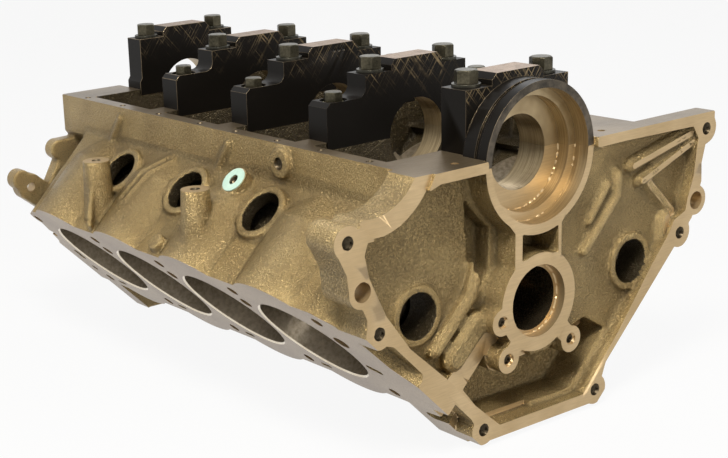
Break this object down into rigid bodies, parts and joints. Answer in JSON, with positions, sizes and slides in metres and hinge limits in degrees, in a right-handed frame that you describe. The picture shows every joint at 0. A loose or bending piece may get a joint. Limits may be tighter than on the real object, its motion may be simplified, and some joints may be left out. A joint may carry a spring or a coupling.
{
  "type": "engine block",
  "caption": "Bare V engine block standing on its deck edges, with bell flange, open cylinder bores and bolted main bearing caps.",
  "frame": {"origin": "crank centreline on the bell-housing face", "axes": "+Y along the crank towards the front of the engine, +Z towards the sump rail, -X towards the starter side"},
  "size_m": [0.4302, 0.539, 0.2998],
  "materials": {
    "casting": "sand cast, machined faces bright",
    "cap": "black oxide with grinding marks",
    "bolt": "dark oiled steel",
    "inner_washer": "dark steel",
    "outer_washer": "yellow passivated",
    "pad": "pale green, matt"
  },
  "bodies": {
    "root": {"cylinder_block": "casting", "main_cap_rear": "cap", "main_cap_2": "cap", "main_cap_3": "cap", "main_cap_4": "cap", "main_cap_front": "cap", "inner_bolts_rear": "bolt", "inner_bolts_2": "bolt", "inner_bolts_3": "bolt", "inner_bolts_4": "bolt", "inner_bolts_front": "bolt", "inner_washers_rear": "inner_washer", "inner_washers_2": "inner_washer", "inner_washers_3": "inner_washer", "inner_washers_4": "inner_washer", "inner_washers_front": "inner_washer", "outer_bolts_2": "bolt", "outer_bolts_3": "bolt", "outer_bolts_4": "bolt", "outer_washers_2": "outer_washer", "outer_washers_3": "outer_washer", "outer_washers_4": "outer_washer", "pad_ring": "pad"}
  },
  "joints": []
}
